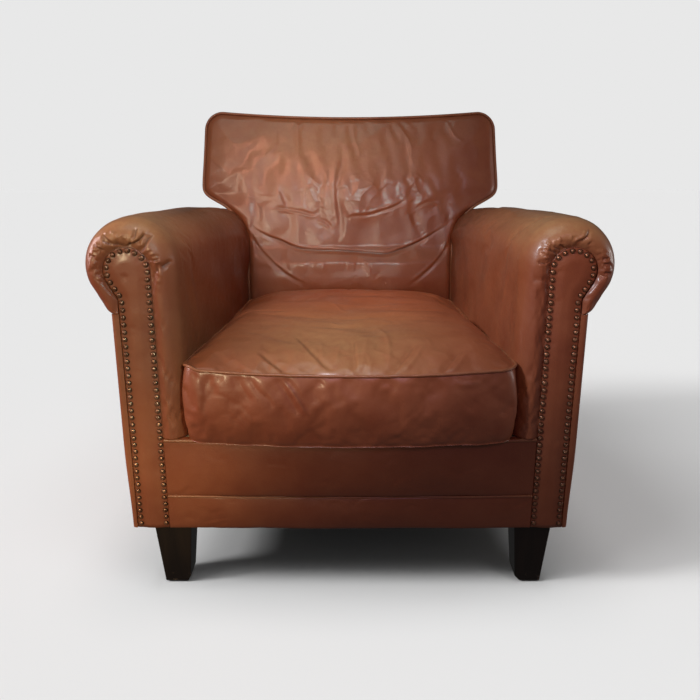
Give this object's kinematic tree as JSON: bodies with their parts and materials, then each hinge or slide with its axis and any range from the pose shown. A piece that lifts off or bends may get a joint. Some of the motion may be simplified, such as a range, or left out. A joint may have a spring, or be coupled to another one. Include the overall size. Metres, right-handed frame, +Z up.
{
  "type": "club chair",
  "caption": "Worn brown leather club chair with roll arms, nail trim on the arm fronts, a loose piped cushion, a fixed pillow back with ears over the arms, and tapered feet.",
  "frame": {"origin": "on the floor, under the middle of the chair's overall box", "axes": "+Z up, the chair faces -Y, +X is the viewer's right when looking at its front"},
  "size_m": [0.8462, 0.8516, 0.832],
  "materials": {
    "cushion_leather": "semi-gloss aniline leather, worn and creased",
    "body_leather": "semi-gloss aniline leather, rubbed on the roll tops",
    "nail_brass": "aged, dark bronze toned",
    "foot_wood": "near-black stain, satin, chipped at the bottom",
    "frame_wood": "sawn beech",
    "plywood": "unfinished plywood",
    "steel": "plain",
    "glide_plastic": "nylon",
    "webbing": "elastic webbing",
    "deck_burlap": "burlap over felt",
    "dust_cloth": "thin black cloth"
  },
  "bodies": {
    "root": {"back_boxing": "body_leather", "back_cushion": "cushion_leather", "back_lower_rail": "frame_wood", "back_rail": "frame_wood", "back_top_rail": "frame_wood", "back_web_1": "webbing", "back_web_2": "webbing", "back_web_3": "webbing", "dust_cover": "dust_cloth", "front_lower_band": "body_leather", "front_rail": "frame_wood", "front_rail_cover": "body_leather", "left_arm_facing": "body_leather", "left_arm_pad": "body_leather", "left_arm_rail": "frame_wood", "left_back_post": "frame_wood", "left_front_corner_block": "frame_wood", "left_front_foot": "foot_wood", "left_front_foot_bolt": "steel", "left_front_glide": "glide_plastic", "left_front_post": "frame_wood", "left_nail_trim": "nail_brass", "left_outside_arm": "body_leather", "left_rear_corner_block": "frame_wood", "left_rear_foot": "foot_wood", "left_rear_foot_bolt": "steel", "left_rear_glide": "glide_plastic", "left_rear_stump": "frame_wood", "left_side_rail": "frame_wood", "left_wing_block": "plywood", "outside_back": "body_leather", "right_arm_facing": "body_leather", "right_arm_pad": "body_leather", "right_arm_rail": "frame_wood", "right_back_post": "frame_wood", "right_front_corner_block": "frame_wood", "right_front_foot": "foot_wood", "right_front_foot_bolt": "steel", "right_front_glide": "glide_plastic", "right_front_post": "frame_wood", "right_nail_trim": "nail_brass", "right_outside_arm": "body_leather", "right_rear_corner_block": "frame_wood", "right_rear_foot": "foot_wood", "right_rear_foot_bolt": "steel", "right_rear_glide": "glide_plastic", "right_rear_stump": "frame_wood", "right_side_rail": "frame_wood", "right_wing_block": "plywood", "seat_cushion": "cushion_leather", "seat_deck": "deck_burlap", "seat_spring_1": "steel", "seat_spring_2": "steel", "seat_spring_3": "steel", "seat_spring_4": "steel", "seat_spring_5": "steel"}
  },
  "joints": []
}
